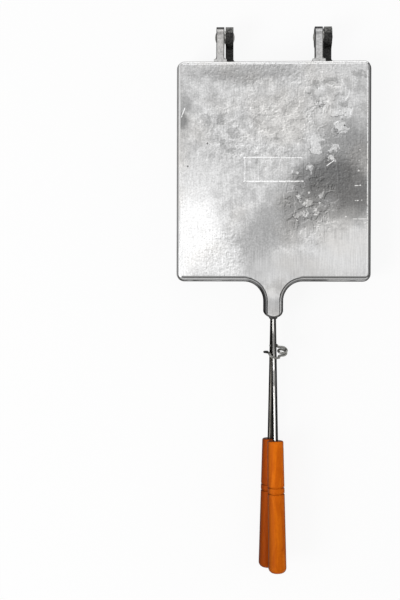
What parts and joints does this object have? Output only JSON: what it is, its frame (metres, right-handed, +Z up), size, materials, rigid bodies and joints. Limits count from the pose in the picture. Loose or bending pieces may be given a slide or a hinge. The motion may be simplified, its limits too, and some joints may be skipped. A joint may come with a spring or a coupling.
{
  "type": "sandwich toasting iron",
  "caption": "Hinged stovetop sandwich iron: equal cast plates with grooved pans inside, long rod handles with turned wooden grips, and a swinging wire latch.",
  "frame": {"origin": "middle of the lower plate's outer face, on which the closed iron rests", "axes": "+X to the right, +Y from the handles towards the hinge, +Z up, square to the plates"},
  "size_m": [0.1986, 0.5565, 0.0408],
  "materials": {
    "cast_aluminium": "bare sand-cast aluminium outside, dark non-stick coating inside the pan",
    "steel_rod": "bright plated rod",
    "turned_wood": "clear lacquer",
    "rivet_steel": "plain",
    "latch_wire": "dull spring wire"
  },
  "bodies": {
    "lower_half": {"bottom_plate": "cast_aluminium", "bottom_handle_rod": "steel_rod", "bottom_grip": "turned_wood", "left_hinge_rivet": "rivet_steel", "right_hinge_rivet": "rivet_steel", "left_hinge_washer": "rivet_steel", "right_hinge_washer": "rivet_steel"},
    "upper_half": {"top_plate": "cast_aluminium", "top_handle_rod": "steel_rod", "top_grip": "turned_wood"},
    "latch": {"wire_latch": "latch_wire"}
  },
  "joints": [
    {"name": "plate_hinge", "type": "hinge", "parent": "lower_half", "child": "upper_half", "pos_m": [0, 0.137, 0.012], "axis": [-1, 0, 0], "range_deg": [0, 180]},
    {"name": "latch_swing", "type": "hinge", "parent": "upper_half", "child": "latch", "pos_m": [0.00064, -0.18399, 0.01872], "axis": [0.0183, -0.9996, 0.0206], "range_deg": [-25, 13]}
  ]
}
